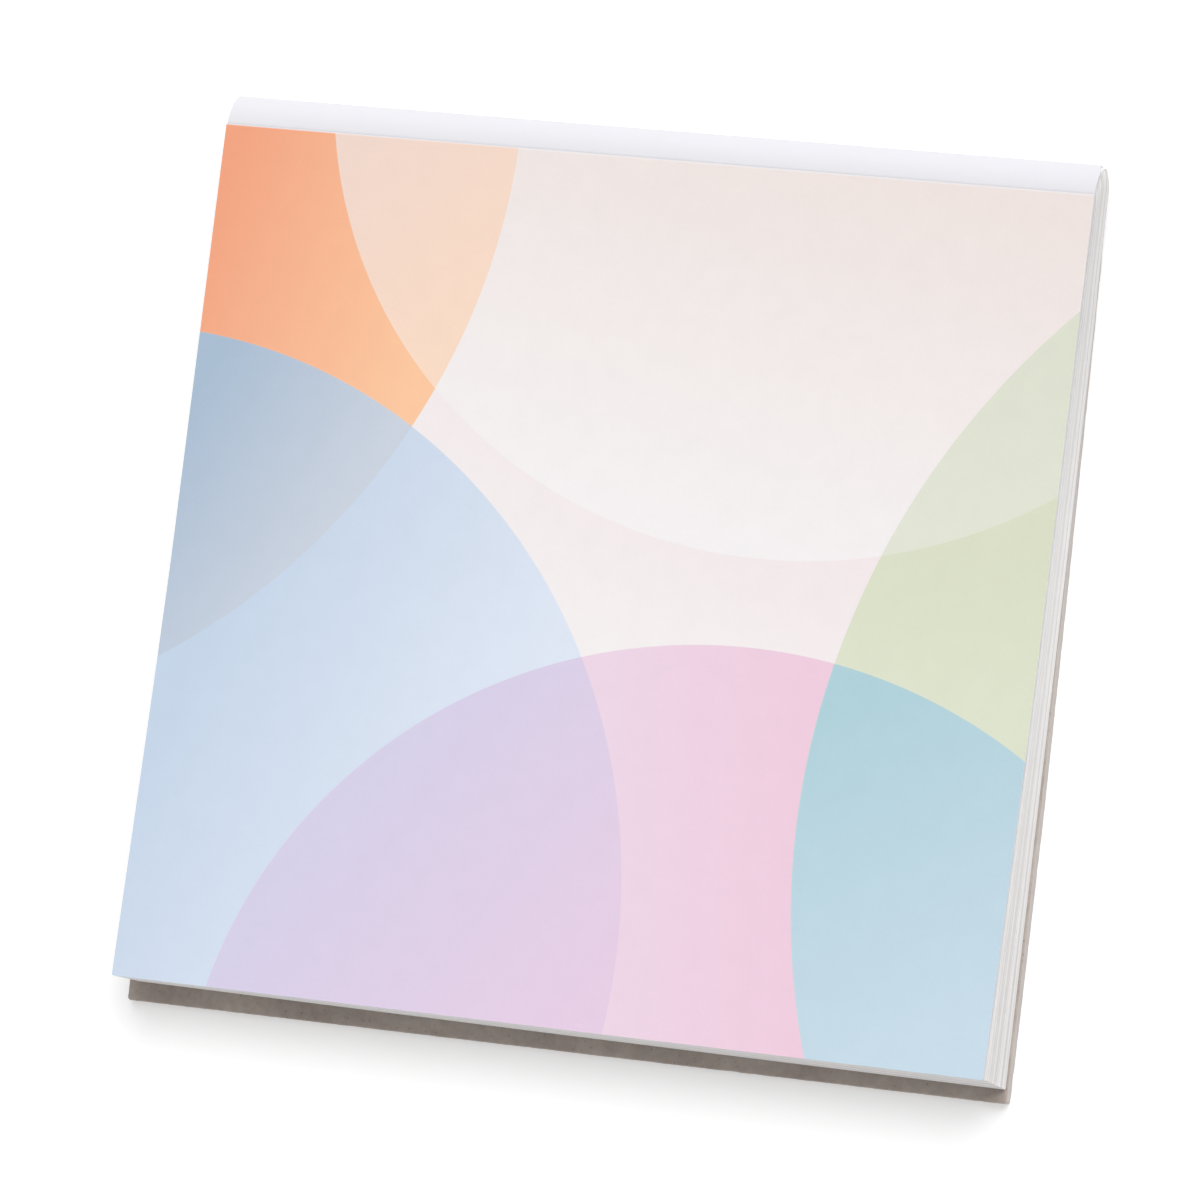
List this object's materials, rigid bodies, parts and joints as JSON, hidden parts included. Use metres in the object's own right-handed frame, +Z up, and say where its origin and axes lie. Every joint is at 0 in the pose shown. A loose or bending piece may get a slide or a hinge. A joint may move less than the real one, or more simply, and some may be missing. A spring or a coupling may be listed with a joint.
{
  "type": "glue-bound notepad",
  "caption": "Square glue-bound notepad: printed card cover creased below a rounded head, a wedge of fanned sheets, and a greyboard back that stands out at the foot.",
  "frame": {"origin": "middle of the footprint, on the surface that the backing board lies on", "axes": "+X across the pad to the right of someone who reads it, +Y towards the glued head, +Z up out of the cover"},
  "size_m": [0.1022, 0.1008, 0.0084],
  "materials": {
    "greyboard": "uncoated grey-brown board, matt and slightly mottled",
    "writing_paper": "uncoated white paper, with fine lines where the cut sheets show",
    "padding_glue": "dried flexible padding glue, off-white and satin",
    "white_card": "smooth uncoated white card, matt",
    "printed_card": "smooth uncoated card printed with large overlapping pastel circles, matt"
  },
  "bodies": {
    "pad": {"backing_board": "greyboard", "page_block": "writing_paper", "binding_glue": "padding_glue", "spine_wrap": "white_card"},
    "cover": {"front_cover": "printed_card"}
  },
  "joints": [
    {"name": "cover_crease", "type": "hinge", "parent": "pad", "child": "cover", "pos_m": [0.0002, 0.04694, 0.0054], "axis": [-1, 0, 0], "range_deg": [0, 180]}
  ]
}
